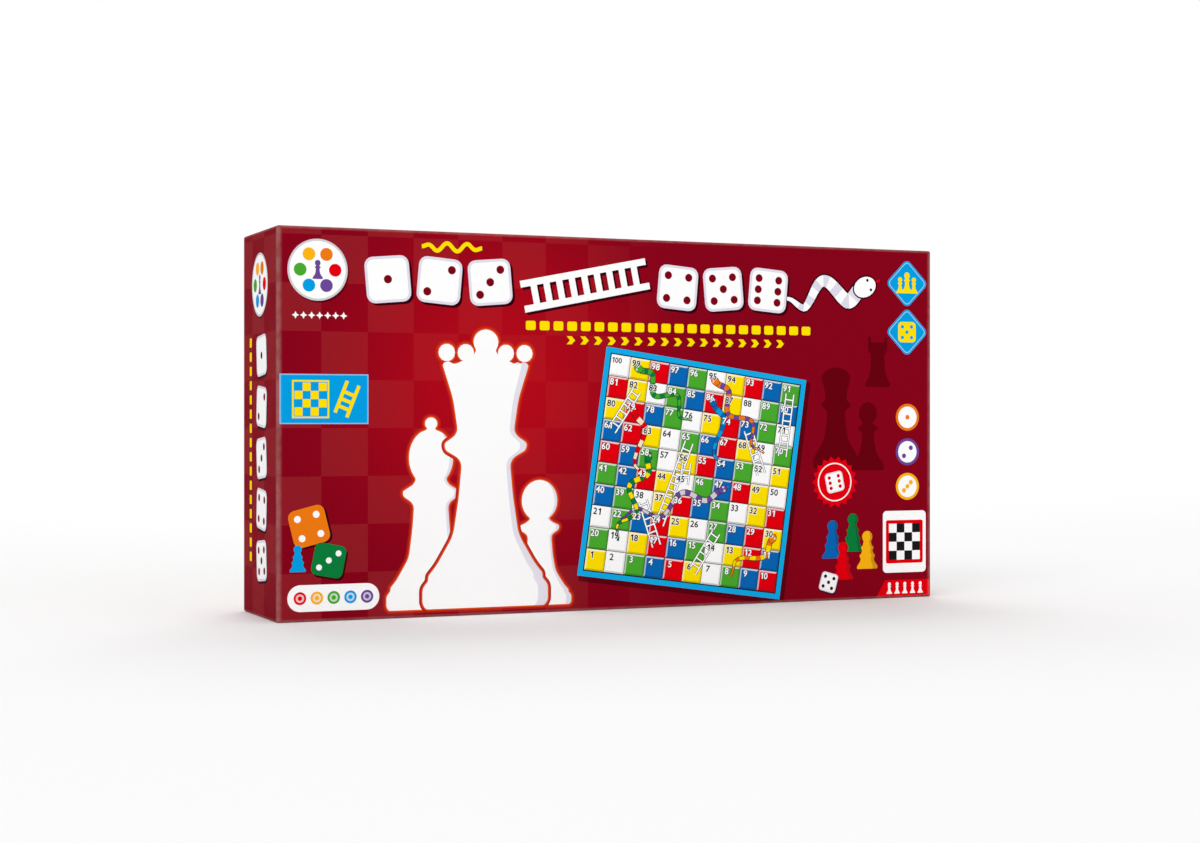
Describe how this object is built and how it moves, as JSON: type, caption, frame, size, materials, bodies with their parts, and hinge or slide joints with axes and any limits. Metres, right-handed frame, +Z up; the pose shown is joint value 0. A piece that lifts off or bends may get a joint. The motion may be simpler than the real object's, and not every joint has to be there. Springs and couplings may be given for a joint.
{
  "type": "boxed board game set",
  "caption": "Two-piece wrapped greyboard game box with a folding two-game board, a formed tray, chess pieces, counters, a die and a rule sheet inside.",
  "frame": {"origin": "middle of the face that the box stands on", "axes": "+X along the long edge, to the right as the printed front is seen; +Y from the printed front to the back; +Z up"},
  "size_m": [0.2678, 0.05, 0.1388],
  "materials": {
    "laminated_print": "gloss",
    "greyboard": "matte",
    "board_print": "gloss",
    "hinge_film": "satin",
    "tray_plastic": "satin",
    "dark_plastic": "gloss",
    "light_plastic": "gloss",
    "red_plastic": "gloss",
    "yellow_plastic": "gloss",
    "green_plastic": "gloss",
    "blue_plastic": "gloss",
    "die_plastic": "gloss",
    "plain_paper": "matte"
  },
  "bodies": {
    "base": {"base_shell": "greyboard", "base_wrap": "laminated_print"},
    "lid": {"lid_shell": "greyboard", "lid_wrap": "laminated_print"},
    "rear_leaf": {"rear_leaf_snakes_sheet": "board_print", "rear_leaf_core": "greyboard", "rear_leaf_chess_sheet": "board_print", "board_hinge_film": "hinge_film"},
    "front_leaf": {"front_leaf_chess_sheet": "board_print", "front_leaf_core": "greyboard", "front_leaf_snakes_sheet": "board_print"},
    "tray": {"piece_tray": "tray_plastic", "dark_rook_left": "dark_plastic", "dark_knight_left": "dark_plastic", "dark_bishop_left": "dark_plastic", "dark_queen": "dark_plastic", "dark_king": "dark_plastic", "dark_bishop_right": "dark_plastic", "dark_knight_right": "dark_plastic", "dark_rook_right": "dark_plastic", "dark_pawn_1": "dark_plastic", "dark_pawn_2": "dark_plastic", "dark_pawn_3": "dark_plastic", "dark_pawn_4": "dark_plastic", "dark_pawn_5": "dark_plastic", "dark_pawn_6": "dark_plastic", "dark_pawn_7": "dark_plastic", "dark_pawn_8": "dark_plastic", "light_rook_left": "light_plastic", "light_knight_left": "light_plastic", "light_bishop_left": "light_plastic", "light_queen": "light_plastic", "light_king": "light_plastic", "light_bishop_right": "light_plastic", "light_knight_right": "light_plastic", "light_rook_right": "light_plastic", "light_pawn_1": "light_plastic", "light_pawn_2": "light_plastic", "light_pawn_3": "light_plastic", "light_pawn_4": "light_plastic", "light_pawn_5": "light_plastic", "light_pawn_6": "light_plastic", "light_pawn_7": "light_plastic", "light_pawn_8": "light_plastic", "red_counter": "red_plastic", "yellow_counter": "yellow_plastic", "green_counter": "green_plastic", "blue_counter": "blue_plastic", "die": "die_plastic", "rule_sheet": "plain_paper"}
  },
  "joints": [
    {"name": "lid_lift", "type": "slide", "parent": "base", "child": "lid", "axis": [0, -1, 0], "range_m": [0, 0.56]},
    {"name": "board_lift", "type": "slide", "parent": "base", "child": "rear_leaf", "axis": [0, -1, 0], "range_m": [0, 0.14]},
    {"name": "board_fold", "type": "hinge", "parent": "rear_leaf", "child": "front_leaf", "pos_m": [0, -0.0201, 0.1322], "axis": [-1, 0, 0], "range_deg": [0, 180], "deforming": ["board_hinge_film"]},
    {"name": "tray_lift", "type": "slide", "parent": "base", "child": "tray", "axis": [0, -1, 0], "range_m": [0, 0.045]}
  ],
  "couplings": [
    {"joint": "board_lift", "follows": "lid_lift", "ratio": 0.25},
    {"joint": "board_fold", "follows": "lid_lift", "rad_per_m": 5.6099},
    {"joint": "tray_lift", "follows": "lid_lift", "ratio": 0.08}
  ]
}
